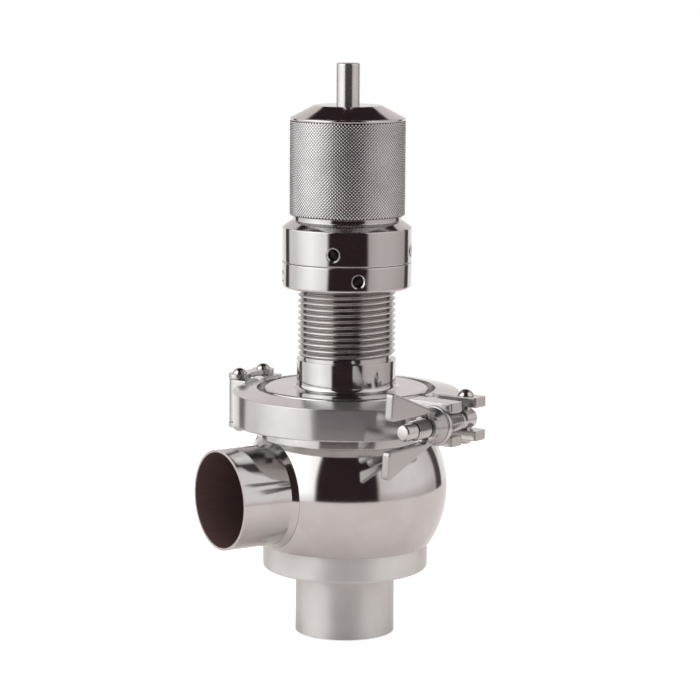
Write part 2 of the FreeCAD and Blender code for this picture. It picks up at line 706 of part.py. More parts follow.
# the clamp's own frame: x towards the bolt, y along the bolt to its pivot, z up the stem
clamp_turn = FreeCAD.Placement(
    FreeCAD.Vector(0, 0, 0), FreeCAD.Rotation(FreeCAD.Vector(0, 0, 1), dim["clamp_heading"].value))
band_radius = dim["band_od"] / 2
bolt_reach = band_radius + dim["bolt_gap"]
lug_reach = bolt_reach + dim["lug_end"]
band_low = clamp_middle - dim["band_height"] / 2
band_high = clamp_middle + dim["band_height"] / 2
slot_low = clamp_middle + dim["lug_lift"] - dim["lug_slot"] / 2
slot_high = slot_low + dim["lug_slot"]
ear_low = clamp_middle - dim["ear_drop"] - dim["ear_height"] / 2
ear_high = ear_low + dim["ear_height"]
bolt_height = slot_low + dim["eye_od"] / 2 + dim["running"]


def clamp_section(side):
    """The corners of the clamp's section, on the side of the split plane given by its sign."""
    inner, groove = neck_radius + dim["clamp_play"], dim["groove_od"] / 2
    rim = dim["gasket_thickness"] / 2 + dim["flange_rim"] + dim["fitted"]
    lip = rim + slope(flange_radius - inner, dim["flange_slope"])
    wide = rim + slope(flange_radius - groove, dim["flange_slope"])
    crest = dim["band_crown"] / 2
    mirrored = [
        (inner, clamp_middle - crest), (band_radius, band_low), (band_radius, band_high),
        (inner, clamp_middle + crest), (inner, clamp_middle + lip), (groove, clamp_middle + wide),
        (groove, clamp_middle - wide), (inner, clamp_middle - lip)]
    return [(radius if side > 0 else -radius, height) for radius, height in mirrored]


def trim(body, corners, low, height):
    """Cuts a block out of a clamp half."""
    sketch = outline(body, "XY_Plane", corners, (None, None, low))
    cut = body.newObject("PartDesign::Pocket", body.Name + "_trim")
    cut.Profile = sketch
    cut.Length = plain(height)
    bind(cut, "Length", height)
    cut.Reversed = True
    return cut


def upright_edges(feature, reach):
    """The names of the upright edges that lie at that distance along x."""
    doc.recompute()
    names = []
    for number, edge in enumerate(feature.Shape.Edges, 1):
        first, last = edge.Vertexes[0].Point, edge.Vertexes[-1].Point
        upright = abs(first.x - last.x) + abs(first.y - last.y) < 0.01 and len(edge.Vertexes) == 2
        if upright and abs(first.x - plain(reach)) < 0.01:
            names.append("Edge%d" % number)
    return names


def clamp_half(label, side):
    """Half of the clamp: grooved band, a fork of two lugs and an ear for its hinge pin."""
    body = new_body(label)
    sign = 1 if side > 0 else -1
    sketch = outline(body, "YZ_Plane", clamp_section(side))
    band = body.newObject("PartDesign::Revolution", label + "_band")
    band.Profile = sketch
    band.ReferenceAxis = (sketch, ["V_Axis"])
    band.Angle = 180
    band.Midplane = True
    near, far = sign * dim["split_gap"], sign * (dim["split_gap"] + dim["lug_width"])
    reach, root = lug_reach, dim["lug_root"]
    crest_low = clamp_middle - dim["band_crown"] / 2
    trim(body, [(0, 0), (reach, 0), (reach, near), (0, near)], crest_low, dim["band_crown"])
    hinge_near = sign * dim["hinge_gap"]
    trim(body, [(0, 0), (0, hinge_near), (-reach, hinge_near), (-reach, 0)],
         crest_low, dim["band_crown"])
    for low in (slot_high, slot_low - dim["lug_height"]):
        pad(body, "XY_Plane", [(root, near), (reach, near), (reach, far), (root, far)],
            (None, None, low), dim["lug_height"])
    ear = dim["ear_od"] / 2
    pin_y = sign * dim["hinge_half"]
    ear_root = dim["ear_root"]
    pad(body, "XY_Plane", [
        (-ear_root, pin_y - ear), (-ear_root, pin_y + ear),
        (-dim["hinge_reach"], pin_y + ear), (-dim["hinge_reach"], pin_y - ear)],
        (None, None, ear_low), dim["ear_height"])
    lobe = primitive(body, "AdditiveCylinder", "XY_Plane", (-dim["hinge_reach"], pin_y, ear_low), {
        "Radius": ear, "Height": dim["ear_height"]})
    last = round_edges(body, lobe, upright_edges(lobe, reach), dim["lug_round"])
    hole = primitive(body, "SubtractiveCylinder", "XY_Plane", (-dim["hinge_reach"], pin_y, ear_low), {
        "Radius": dim["hinge_pin"] / 2 + dim["fitted"], "Height": dim["ear_height"]})
    if side > 0:
        hole = primitive(body, "SubtractiveCylinder", "XY_Plane",
                         (bolt_reach, dim["pivot_offset"], slot_low - dim["lug_height"]),
                         {"Radius": dim["pivot_pin"] / 2 + dim["running"],
                          "Height": dim["lug_slot"] + 2 * dim["lug_height"]})
    doc.recompute()
    if not hole.Shape.Volume < last.Shape.Volume:
        raise RuntimeError("the pin holes of %s cut nothing" % label)
    body.Placement = clamp_turn


def hinge_link(label, low):
    """A flat link over the two hinge pins."""
    half, radius = dim["hinge_half"], dim["link_width"] / 2
    block = doc.addObject("Part::Box", label + "_bar")
    bind(block, "Length", dim["link_waist"])
    bind(block, "Width", 2 * half)
    bind(block, "Height", dim["link_height"])
    bind(block, "Placement.Base.x", -dim["hinge_reach"] - dim["link_waist"] / 2)
    bind(block, "Placement.Base.y", -half)
    bind(block, "Placement.Base.z", low)
    ends, holes = [block], []
    for number, offset in enumerate((-half, half)):
        place = (-dim["hinge_reach"], offset, low)
        ends.append(cylinder("%s_end_%d" % (label, number), radius, dim["link_height"], place))
        holes.append(cylinder("%s_hole_%d" % (label, number), dim["hinge_pin"] / 2 + dim["fitted"],
                              dim["link_height"], place))
    plate = doc.addObject("Part::MultiFuse", label + "_plate")
    plate.Shapes = ends
    both = doc.addObject("Part::MultiFuse", label + "_holes")
    both.Shapes = holes
    link = keep(doc.addObject("Part::Cut", label), label)
    link.Base, link.Tool = plate, both
    link.Placement = clamp_turn


def riveted_pin(label, radius, head, head_height, low, high, place_x, place_y):
    """A pin from one height to another with a domed head beyond each end."""
    body = new_body(label)
    dome = (head * head + head_height * head_height) / (2 * head_height)
    revolve(body, [
        (0, low - head_height, dome, 1), (head, low), (radius, low), (radius, high),
        (head, high, dome, 1), (0, high + head_height)])
    spot = FreeCAD.Vector(place_x.value, place_y.value, 0)
    body.Placement = clamp_turn.multiply(FreeCAD.Placement(spot, FreeCAD.Rotation()))


def hinge():
    """Two pins joined by a link above and a link below."""
    low = ear_low - dim["link_play"] - dim["link_height"]
    high = ear_high + dim["link_play"] + dim["link_height"]
    hinge_link("hinge_link_top", ear_high + dim["link_play"])
    hinge_link("hinge_link_bottom", low)
    for label, sign in (("hinge_pin_front", -1), ("hinge_pin_rear", 1)):
        riveted_pin(label, dim["hinge_pin"] / 2, dim["head_od"] / 2, dim["head_height"], low, high,
                    -dim["hinge_reach"], sign * dim["hinge_half"])


def along_bolt(offset):
    """The placement whose Z runs along the bolt to its free end, that far from the pivot, X up."""
    spot = FreeCAD.Vector(bolt_reach.value, dim["pivot_offset"].value - plain(offset),
                          bolt_height.value)
    frame = FreeCAD.Rotation(FreeCAD.Vector(0, 0, 1), FreeCAD.Vector(-1, 0, 0),
                             FreeCAD.Vector(0, -1, 0), "ZXY")
    return clamp_turn.multiply(FreeCAD.Placement(spot, frame))


def swing_bolt():
    """The bolt with its eye, and the pin that it swings on."""
    body = new_body("swing_bolt")
    eye, shank, tip = dim["eye_od"] / 2, dim["bolt_root"] / 2, dim["bolt_bevel"]
    back, front, back_bevel = dim["eye_back"], dim["eye_front"], dim["eye_back_bevel"]
    turned = revolve(body, [
        (0, -back), (eye - back_bevel, -back), (eye, back_bevel - back),
        (eye, front - dim["eye_bevel"]), (shank, front), (shank, dim["bolt_length"] - tip),
        (shank - tip, dim["bolt_length"]), (0, dim["bolt_length"])])
    hole = primitive(body, "SubtractiveCylinder", "YZ_Plane", (None, None, -eye), {
        "Radius": dim["pivot_pin"] / 2 + dim["running"], "Height": eye * 2})
    doc.recompute()
    if not hole.Shape.Volume < turned.Shape.Volume:
        raise RuntimeError("the bolt's eye has no hole")
    body.Placement = along_bolt(0)
    low = slot_low - dim["lug_height"] - dim["fitted"]
    high = slot_high + dim["lug_height"] + dim["fitted"]
    riveted_pin("bolt_pin", dim["pivot_pin"] / 2, dim["pivot_head"] / 2, dim["pivot_head_height"],
                low, high, bolt_reach, dim["pivot_offset"])


def tip_edges(feature, tip, across):
    """The names of the straight edges at the wings' ends, across the wings or along them."""
    doc.recompute()
    names = []
    for number, edge in enumerate(feature.Shape.Edges, 1):
        first, last = edge.Vertexes[0].Point, edge.Vertexes[-1].Point
        at_tip = abs(first.z - plain(tip)) < 0.01 and abs(last.z - plain(tip)) < 0.01
        if at_tip and (abs(first.x - last.x) < 0.01) == across:
            names.append("Edge%d" % number)
    return names


def wing_nut():
    """The nut with two wings swept past the bolt's end, and the collar it turns against."""
    seat_plane = dim["pivot_offset"] + dim["split_gap"] + dim["lug_width"] + dim["running"]
    bore = dim["bolt_root"] / 2 + dim["thread_gap"]
    collar = new_body("nut_collar")
    edge = dim["collar_od"] / 2
    turned = revolve(collar, [
        (bore, 0), (edge, 0), (edge, dim["collar_height"]), (bore, dim["collar_height"])])
    round_edges(collar, turned, rims(turned, (edge, dim["collar_height"])), dim["collar_height"] / 2)
    collar.Placement = along_bolt(seat_plane)
    body = new_body("wing_nut")
    low = dim["collar_height"] + dim["running"]
    foot, hub = dim["nut_foot"] / 2, dim["nut_hub"] / 2
    high = low + dim["nut_length"]
    tip, root = dim["wing_tip"], hub - dim["wing_thickness"] / 2
    inner, outer = dim["wing_gap"] / 2, dim["wing_span"] / 2
    rise = low + dim["wing_rise"]
    revolve(body, [
        (bore, low), (foot, low), (hub, low + dim["nut_dome"]), (hub, high), (bore, high)])
    wing = pad(body, "XZ_Plane", [
        (root, rise), (foot - dim["wing_rise"], rise),
        (outer, tip), (inner, tip), (hub, high + dim["wing_rise"]), (root, high)],
        None, dim["wing_thickness"], middle=True)
    pair = body.newObject("PartDesign::PolarPattern", "wing_nut_pair")
    pair.Originals = [wing]
    pair.Axis = (origin_item(body, "Z_Axis"), [""])
    pair.Angle = 360
    pair.Occurrences = 2
    body.Tip = pair
    corners = round_edges(body, pair, tip_edges(pair, tip, across=True), dim["wing_corner"])
    body.Tip = round_edges(body, corners, tip_edges(corners, tip, across=False), dim["wing_round"])
    tilt = FreeCAD.Placement(FreeCAD.Vector(), FreeCAD.Rotation(
        FreeCAD.Vector(0, 0, 1), dim["wing_tilt"].value))
    body.Placement = along_bolt(seat_plane).multiply(tilt)


def check_and_write():
    """Stops on any failed object, then writes one STEP file per sub-part."""
    doc.recompute()
    for thing in doc.Objects:
        if "Invalid" in thing.State or "Error" in thing.State:
            raise RuntimeError("%s failed: %s" % (thing.Label, thing.State))
    for part in nodes:
        shape = part.Shape
        if shape.isNull() or not shape.isValid() or not shape.Solids:
            raise RuntimeError("%s has no valid solid" % part.Label)
    os.makedirs("parts", exist_ok=True)
    for part in nodes:
        part.Shape.exportStep("parts/%s.step" % part.Label)
        print("%-20s %d solid, %.1f mm3" % (part.Label, len(part.Shape.Solids), part.Shape.Volume))


ports()
seat_ring()
ball_body()
body_flange()
bonnet()
guides()
stem()
plug()
snap_ring()
spring()
spring_plates()
lock_ring()
adjusting_cap()
clamp_half("clamp_half_front", -1)
clamp_half("clamp_half_rear", 1)
hinge()
swing_bolt()
wing_nut()
check_and_write()
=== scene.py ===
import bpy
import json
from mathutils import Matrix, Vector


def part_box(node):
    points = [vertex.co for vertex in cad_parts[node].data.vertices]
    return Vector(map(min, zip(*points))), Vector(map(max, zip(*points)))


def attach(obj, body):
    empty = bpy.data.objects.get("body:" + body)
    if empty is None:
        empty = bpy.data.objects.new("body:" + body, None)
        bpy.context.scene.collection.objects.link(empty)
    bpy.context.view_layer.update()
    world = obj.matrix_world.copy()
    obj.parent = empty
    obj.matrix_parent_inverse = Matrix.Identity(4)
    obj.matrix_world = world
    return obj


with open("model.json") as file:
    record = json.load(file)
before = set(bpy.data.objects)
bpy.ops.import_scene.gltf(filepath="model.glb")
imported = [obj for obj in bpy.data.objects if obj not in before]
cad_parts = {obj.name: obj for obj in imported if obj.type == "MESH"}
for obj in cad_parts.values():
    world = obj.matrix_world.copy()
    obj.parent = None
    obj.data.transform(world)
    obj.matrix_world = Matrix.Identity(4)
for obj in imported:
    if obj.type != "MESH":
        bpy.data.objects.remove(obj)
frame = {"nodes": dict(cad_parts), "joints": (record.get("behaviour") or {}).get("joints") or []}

"""Looks of the overflow relief valve: polished steel, its threads and its knurl, and the studio.

Metres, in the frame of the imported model. Sizes that the model holds are read from its nodes.
"""
import json
import math

import bpy
from mathutils import Matrix, Vector

MM = 0.001
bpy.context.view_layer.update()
scene = bpy.context.scene

# the photograph's camera: heading and pitch of its view, and where it stands
HEADING = math.radians(32.7)
PITCH = math.radians(8.63)
ROLL = math.radians(0.40)
CAMERA_PLACE = Vector((-0.7272, -1.1362, 0.3508))
FOCAL_PIXELS = 2664.0
FRAME_PIXELS = 700.0
SENSOR = 36.0
FARTHEST = 20.0


def add_camera():
    """The camera at the photograph's viewing angle."""
    level = Vector((math.cos(HEADING), -math.sin(HEADING), 0))
    forward = Vector((math.sin(HEADING), math.cos(HEADING), 0))
    ahead = forward * math.cos(PITCH) - Vector((0, 0, math.sin(PITCH)))
    above = level.cross(ahead)
    right = level * math.cos(ROLL) + above * math.sin(ROLL)
    up = above * math.cos(ROLL) - level * math.sin(ROLL)
    turn = Matrix((right, up, -ahead)).transposed()
    data = bpy.data.cameras.new("photo_camera")
    data.sensor_width = SENSOR
    data.lens = FOCAL_PIXELS / FRAME_PIXELS * SENSOR
    data.clip_end = FARTHEST
    camera = bpy.data.objects.new("photo_camera", data)
    camera.matrix_world = Matrix.Translation(CAMERA_PLACE) @ turn.to_4x4()
    scene.collection.objects.link(camera)
    scene.camera = camera


class Graph:
    """A node tree with short calls for the nodes used here."""

    def __init__(self, tree):
        self.tree = tree
        tree.nodes.clear()

    def node(self, kind, **settings):
        made = self.tree.nodes.new(kind)
        for name, value in settings.items():
            setattr(made, name, value)
        return made

    def feed(self, socket, value):
        if isinstance(value, bpy.types.NodeSocket):
            self.tree.links.new(value, socket)
        elif value is not None:
            socket.default_value = value

    def math(self, operation, first, second=None, third=None):
        made = self.node("ShaderNodeMath", operation=operation)
        for socket, value in zip(made.inputs, (first, second, third)):
            self.feed(socket, value)
        return made.outputs[0]

    def step(self, value, low, high, to_low=0.0, to_high=1.0):
        """Maps value smoothly from low..high to to_low..to_high."""
        made = self.node("ShaderNodeMapRange", interpolation_type="SMOOTHSTEP")
        for socket, number in zip(made.inputs, (value, low, high, to_low, to_high)):
            self.feed(socket, number)
        return made.outputs[0]

    def length(self, first, second):
        """The length of a vector with two parts."""
        squares = [self.math("MULTIPLY", part, part) for part in (first, second)]
        return self.math("SQRT", self.math("ADD", *squares))

    def mix(self, share, first, second):
        made = self.node("ShaderNodeMix", data_type="RGBA")
        self.feed(made.inputs[0], share)
        self.feed(made.inputs[6], first)
        self.feed(made.inputs[7], second)
        return made.outputs[2]

    def choose(self, share, first, second):
        """A shader between two others."""
        made = self.node("ShaderNodeMixShader")
        for socket, value in zip(made.inputs, (share, first, second)):
            self.feed(socket, value)
        return made.outputs[0]

    def noise(self, vector, scale, detail=2.0, rough=0.5):
        made = self.node("ShaderNodeTexNoise")
        self.feed(made.inputs["Vector"], vector)
        made.inputs["Scale"].default_value = scale
        made.inputs["Detail"].default_value = detail
        made.inputs["Roughness"].default_value = rough
        return made.outputs[0]

    def place(self, scale=(1, 1, 1)):
        """Object coordinates, scaled along each axis."""
        coordinates = self.node("ShaderNodeTexCoord").outputs["Object"]
        mapping = self.node("ShaderNodeMapping")
        self.feed(mapping.inputs["Vector"], coordinates)
        mapping.inputs["Scale"].default_value = scale
        return mapping.outputs[0]

    def split(self, vector):
        made = self.node("ShaderNodeSeparateXYZ")
        self.feed(made.inputs[0], vector)
        return made.outputs


# the studio as a function of direction: the angle from the camera's side in degrees, and the light there
STUDIO = ((-180, 1.06), (-141, 1.06), (-138, 0.05), (-126, 0.05), (-123, 0.95), (-104, 1.0), (-83, 1.42),
          (-66, 1.58), (-50, 1.34), (-36, 1.15), (-32, 0.0), (36, 0.0), (40, 0.60), (58, 0.72), (90, 0.70),
          (110, 0.60), (122, 0.54), (126, 0.05), (138, 0.05), (141, 1.06), (180, 1.06))
# heights in degrees: the back loses some light just above the horizon and ends at its top
BACK_START = 140.0
BACK_TOP = 37.0
BACK_FADE = 2.0
BACK_UPPER = 0.78
BACK_STEP_LOW, BACK_STEP_HIGH = 0.5, 4.0
# the side panels are brighter above the horizon, and reach higher than the back
PANEL_TOP = 62.0
PANEL_FADE = 6.0
BRIGHT_LOW, BRIGHT_HIGH, BRIGHT_GAIN = -8.3, 3.0, 1.42
# the light at which its warm tint starts to fade, and at which it is white
WARM_LIGHT, WHITE_LIGHT = 0.65, 1.2
STUDIO_DARK = (0.033, 0.019, 0.021)
STUDIO_WARM = (1.0, 0.925, 0.905, 1)
STUDIO_WHITE = (1.0, 0.995, 0.985, 1)


def build_world():
    """White behind the object, and two tall panels with dark between them for its reflections."""
    world = bpy.data.worlds.new("studio")
    scene.world = world
    world.use_nodes = True
    g = Graph(world.node_tree)
    x, y, z = g.split(g.node("ShaderNodeTexCoord").outputs["Generated"])
    to_right = g.math("MULTIPLY_ADD", x, math.cos(HEADING), g.math("MULTIPLY", y, -math.sin(HEADING)))
    to_front = g.math("MULTIPLY_ADD", x, -math.sin(HEADING), g.math("MULTIPLY", y, -math.cos(HEADING)))
    angle = g.math("DEGREES", g.math("ARCTAN2", to_right, to_front))
    height = g.math("DEGREES", g.math("ARCSINE", z))

    ring = g.node("ShaderNodeValToRGB")
    stops = ring.color_ramp.elements
    brightest = max(light for _, light in STUDIO)
    for index, (place, light) in enumerate(STUDIO):
        stop = stops[index] if index < 2 else stops.new(1.0)
        stop.position = (place + 180) / 360
        stop.color = [light / brightest] * 3 + [1]
    g.feed(ring.inputs[0], g.math("MULTIPLY_ADD", angle, 1 / 360, 0.5))
    light = g.math("MULTIPLY", ring.outputs[0], brightest)

    gain = g.step(height, BRIGHT_LOW, BRIGHT_HIGH, 1.0, BRIGHT_GAIN)
    behind = g.step(g.math("ABSOLUTE", angle), BACK_START - BACK_FADE, BACK_START + BACK_FADE)
    side = g.math("MULTIPLY", gain, g.step(height, PANEL_TOP - PANEL_FADE, PANEL_TOP + PANEL_FADE, 1, 0))
    back = g.math("MULTIPLY", g.step(height, BACK_STEP_LOW, BACK_STEP_HIGH, 1, BACK_UPPER),
                  g.step(height, BACK_TOP - BACK_FADE, BACK_TOP + BACK_FADE, 1, 0))
    reach = g.math("ADD", g.math("MULTIPLY", side, g.math("SUBTRACT", 1.0, behind)),
                   g.math("MULTIPLY", back, behind))
    light = g.math("MULTIPLY", light, reach)
    tint = g.mix(g.step(light, WARM_LIGHT, WHITE_LIGHT), STUDIO_WARM, STUDIO_WHITE)
    colour = g.node("ShaderNodeVectorMath", operation="SCALE")
    g.feed(colour.inputs[0], tint)
    g.feed(colour.inputs["Scale"], light)
    lifted = g.node("ShaderNodeVectorMath", operation="ADD")
    g.feed(lifted.inputs[0], colour.outputs[0])
    g.feed(lifted.inputs[1], STUDIO_DARK)

    studio = g.node("ShaderNodeBackground")
    g.feed(studio.inputs["Color"], lifted.outputs[0])
    plain = g.node("ShaderNodeBackground")
    plain.inputs["Color"].default_value = (1, 1, 1, 1)
    ray = g.node("ShaderNodeLightPath")
    shown = g.choose(ray.outputs["Is Glossy Ray"], plain.outputs[0], studio.outputs[0])
    g.feed(g.node("ShaderNodeOutputWorld").inputs[0], shown)


FLOOR_RADIUS, FLOOR_SIDES, FLOOR_DROP = 0.56, 128, 0.0004
FLOOR_TONES = (0.80, 0.79, 0.775, 1), (0.83, 0.82, 0.805, 1)
# the floor as the metal shows it, and what its own whiteness adds for the camera
FLOOR_SEEN = (0.78, 0.715, 0.70, 1)
FLOOR_GLOW = 0.52
OVERHEAD_SIZE, OVERHEAD_POWER, OVERHEAD_HEIGHT = 1.6, 9.0, 1.5


def add_floor():
    """A pale round floor under the port, and a soft light above it."""
    corners = [math.tau * i / FLOOR_SIDES for i in range(FLOOR_SIDES)]
    ring = [(FLOOR_RADIUS * math.cos(a), FLOOR_RADIUS * math.sin(a), -FLOOR_DROP) for a in corners]
    mesh = bpy.data.meshes.new("floor")
    mesh.from_pydata(ring, [], [list(range(FLOOR_SIDES))])
    floor = bpy.data.objects.new("floor", mesh)
    scene.collection.objects.link(floor)
    paint = bpy.data.materials.new("floor_paint")
    paint.use_nodes = True
    g = Graph(paint.node_tree)
    ray = g.node("ShaderNodeLightPath")
    pale = g.mix(g.noise(g.place(), 30.0, 3.0), *FLOOR_TONES)
    shade = g.node("ShaderNodeBsdfDiffuse")
    g.feed(shade.inputs["Color"], g.mix(ray.outputs["Is Glossy Ray"], pale, FLOOR_SEEN))
    glow = g.node("ShaderNodeEmission")
    glow.inputs["Strength"].default_value = FLOOR_GLOW
    lit = g.node("ShaderNodeAddShader")
    g.feed(lit.inputs[0], shade.outputs[0])
    g.feed(lit.inputs[1], glow.outputs[0])
    shown = g.choose(ray.outputs["Is Camera Ray"], shade.outputs[0], lit.outputs[0])
    g.feed(g.node("ShaderNodeOutputMaterial").inputs[0], shown)
    mesh.materials.append(paint)
    data = bpy.data.lights.new("overhead", "AREA")
    data.shape = "DISK"
    data.size = OVERHEAD_SIZE
    data.energy = OVERHEAD_POWER
    light = bpy.data.objects.new("overhead", data)
    light.location = (0, 0, OVERHEAD_HEIGHT)
    light.visible_glossy = False
    scene.collection.objects.link(light)


# colours of the metal
MIRROR = (0.565, 0.557, 0.55, 1)
MIRROR_DULL = (0.525, 0.512, 0.502, 1)
CAST = (0.56, 0.55, 0.54, 1)
KNURLED = (0.66, 0.65, 0.64, 1)
RING = (0.535, 0.527, 0.52, 1)
WING = (0.42, 0.41, 0.402, 1)
TURNED = (0.73, 0.72, 0.71, 1)
TURNED_DULL = (0.70, 0.685, 0.675, 1)
# painted shade: the dark brown that the inside of the side port takes
BORE_SHADE = (0.10, 0.058, 0.055, 1)
BORE_SHADE_PALE = (0.15, 0.087, 0.0825, 1)
# painted shade inside the pin holes of the rings
HOLE_SHADE = (0.15, 0.13, 0.125, 1)
# painted shade in the grooves of the knurl, the bonnet thread and the bolt thread
GROOVE_SHADE = (0.055, 0.047, 0.045, 1)
THREAD_GROOVE_SHADE = (0.33, 0.30, 0.29, 1)
DEEP_GROOVE_SHADE = (0.02, 0.016, 0.015, 1)
# how much of a metal's roughness its patches and its fine marks change, and how deep the marks are
PATCH_SHARE, MARK_SHARE = 0.15, 0.6
MARK_DEPTH = 0.12 * MM


def metal(name, tone=MIRROR, other=MIRROR_DULL, rough=0.1, bump=0.0, grain=(1, 1, 1), grain_scale=600.0,
          spin=0.0, corner=0.3 * MM, groove_shade=None, groove_top=0.6, haze=0.0, inside=None):
    """Bare steel: colour and roughness that vary, fine marks, and turned lines where it was turned.

    The groove tone is painted shade between ridges, which fades out at groove_top of a ridge's height. haze is
    the share of the surface that scatters light, as a cast or a turned face does. inside paints shade into its
    holes.
    """
    paint = bpy.data.materials.new(name)
    paint.use_nodes = True
    g = Graph(paint.node_tree)
    shade = g.node("ShaderNodeBsdfPrincipled")
    shade.inputs["Metallic"].default_value = 1.0 - haze
    patches = g.noise(g.place(), 55.0, 3.0, 0.6)
    colour = g.mix(g.step(patches, 0.35, 0.7), tone, other)
    # painted shade: the grooves between ridges take the groove tone
    if groove_shade:
        ridge = g.node("ShaderNodeAttribute", attribute_name="ridge").outputs["Fac"]
        colour = g.mix(g.step(ridge, 0.0, groove_top), groove_shade, colour)
    g.feed(shade.inputs["Base Color"], colour)
    marks = g.noise(g.place(grain), grain_scale, 2.0, 0.6)
    uneven = g.math("MULTIPLY_ADD", g.math("SUBTRACT", patches, 0.5), PATCH_SHARE * rough, rough)
    uneven = g.math("MULTIPLY_ADD", g.math("SUBTRACT", marks, 0.5), MARK_SHARE * rough, uneven)
    g.feed(shade.inputs["Roughness"], uneven)
    if spin:
        shade.inputs["Anisotropic"].default_value = spin
        shade.inputs["Anisotropic Rotation"].default_value = 0.25
        tangent = g.node("ShaderNodeTangent", direction_type="RADIAL", axis="Z")
        g.feed(shade.inputs["Tangent"], tangent.outputs[0])
    soft = None
    if corner:
        bevel = g.node("ShaderNodeBevel", samples=4)
        bevel.inputs["Radius"].default_value = corner
        soft = bevel.outputs[0]
    if bump:
        raised = g.node("ShaderNodeBump")
        raised.inputs["Strength"].default_value = bump
        raised.inputs["Distance"].default_value = MARK_DEPTH
        g.feed(raised.inputs["Height"], marks)
        g.feed(raised.inputs["Normal"], soft)
        soft = raised.outputs[0]
    g.feed(shade.inputs["Normal"], soft)
    g.feed(g.node("ShaderNodeOutputMaterial").inputs[0], shade.outputs[0])
    if inside:
        inside(g, shade)
    return paint


def matte(name, tone, other, rough, scale):
    """Rubber or plastic: two close tones, fine grain and a matte face."""
    paint = bpy.data.materials.new(name)
    paint.use_nodes = True
    g = Graph(paint.node_tree)
    shade = g.node("ShaderNodeBsdfPrincipled")
    grain = g.noise(g.place(), scale, 3.0, 0.6)
    g.feed(shade.inputs["Base Color"], g.mix(grain, tone, other))
    shade.inputs["Roughness"].default_value = rough
    raised = g.node("ShaderNodeBump")
    raised.inputs["Strength"].default_value = 0.25
    raised.inputs["Distance"].default_value = 0.1 * MM
    g.feed(raised.inputs["Height"], grain)
    g.feed(shade.inputs["Normal"], raised.outputs[0])
    g.feed(g.node("ShaderNodeOutputMaterial").inputs[0], shade.outputs[0])
    return paint


def darken(g, shade, share, tone, rough):
    """Turns a metal towards another tone, and no smoother than rough, where share is 1."""
    colour, smooth = shade.inputs["Base Color"], shade.inputs["Roughness"]
    g.feed(colour, g.mix(share, colour.links[0].from_socket, tone))
    g.feed(smooth, g.math("MAXIMUM", smooth.links[0].from_socket, g.math("MULTIPLY", share, rough)))


# the side port: the height of its axis, and the radius of its bore
PORT_HEIGHT, PORT_BORE = 75.6 * MM, 24.0 * MM
# the painted shade in the bore: how rough it is there, and how much less metallic
BORE_ROUGH, BORE_SHADE_MATTE = 0.42, 0.75


def port_bore_shade(g, shade):
    """Painted shade inside the level tube: the steel turns dark brown and dull there, with paler streaks along
    its length.
    """
    x, y, z = g.split(g.place())
    away = g.length(y, g.math("SUBTRACT", z, PORT_HEIGHT))
    share = g.step(away, PORT_BORE + 0.2 * MM, PORT_BORE + 0.5 * MM, 1, 0)
    streaks = g.noise(g.place((4, 40, 40)), 20.0, 2.0)
    darken(g, shade, share, g.mix(streaks, BORE_SHADE, BORE_SHADE_PALE), BORE_ROUGH)
    g.feed(shade.inputs["Metallic"], g.math("SUBTRACT", 1.0, g.math("MULTIPLY", share, BORE_SHADE_MATTE)))


# the holes for the pin spanner, bored into both rings from their sides
HOLE_RADIUS, LOCK_HOLES_RISE, CAP_HOLES_RISE = 2.6 * MM, 6.1 * MM, 6.2 * MM
HOLE_ROUGH = 0.3
hole_heights = [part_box("lock_ring")[0][2] + LOCK_HOLES_RISE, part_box("adjusting_cap")[0][2] + CAP_HOLES_RISE]
ring_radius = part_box("lock_ring")[1][0]


def pin_hole_shade(g, shade):
    """Painted shade: the blind holes of a ring are darkened inside."""
    x, y, z = g.split(g.place())
    sunk = g.step(g.length(x, y), ring_radius - 1.2 * MM, ring_radius - 0.5 * MM, 1, 0)
    rises = [g.math("ABSOLUTE", g.math("SUBTRACT", z, height)) for height in hole_heights]
    near = g.step(g.math("MINIMUM", *rises), HOLE_RADIUS + 0.1 * MM, HOLE_RADIUS + 0.2 * MM, 1, 0)
    darken(g, shade, g.math("MULTIPLY", sunk, near), HOLE_SHADE, HOLE_ROUGH)


POLISH_MARKS = dict(bump=0.02, grain=(1, 1, 6), grain_scale=900)
STEELS = {
    "polished_steel": dict(rough=0.09, corner=0.5 * MM, **POLISH_MARKS),
    "ground_steel": dict(rough=0.18, corner=0.5 * MM, haze=0.07, **POLISH_MARKS),
    "ring_steel": dict(tone=RING, rough=0.09, corner=0.9 * MM, inside=pin_hole_shade, **POLISH_MARKS),
    "bolt_steel": dict(rough=0.20, bump=0.03, grain_scale=900, corner=1.0 * MM),
    "turned_steel": dict(tone=TURNED, other=TURNED_DULL, rough=0.54, bump=0.03, grain=(1, 1, 30),
                         grain_scale=260, spin=0.85, haze=0.2),
    "cast_steel": dict(tone=CAST, rough=0.17, bump=0.06, grain_scale=2200, corner=1.0 * MM, haze=0.10),
    "wing_steel": dict(tone=WING, other=WING, rough=0.19, bump=0.05, grain_scale=2200, corner=1.0 * MM,
                       haze=0.05),
    "knurled_steel": dict(tone=KNURLED, other=MIRROR, rough=0.24, corner=0, groove_shade=GROOVE_SHADE, groove_top=0.6,
                          haze=0.08),
    "thread_steel": dict(rough=0.20, corner=0, groove_shade=THREAD_GROOVE_SHADE, groove_top=0.55),
    "fine_thread_steel": dict(tone=KNURLED, other=MIRROR, rough=0.20, corner=0, groove_shade=DEEP_GROOVE_SHADE,
                              groove_top=0.9),
    "drawn_wire": dict(tone=MIRROR_DULL, rough=0.3, bump=0.05),
    "port_steel": dict(rough=0.10, bump=0.02, grain=(6, 1, 1), grain_scale=900, inside=port_bore_shade),
}
paints = {name: metal(name, **settings) for name, settings in STEELS.items()}
paints["black_rubber"] = matte("black_rubber", (0.03, 0.03, 0.03, 1), (0.045, 0.045, 0.045, 1), 0.6, 900)
paints["pale_plastic"] = matte("pale_plastic", (0.80, 0.79, 0.75, 1), (0.74, 0.73, 0.70, 1), 0.45, 700)

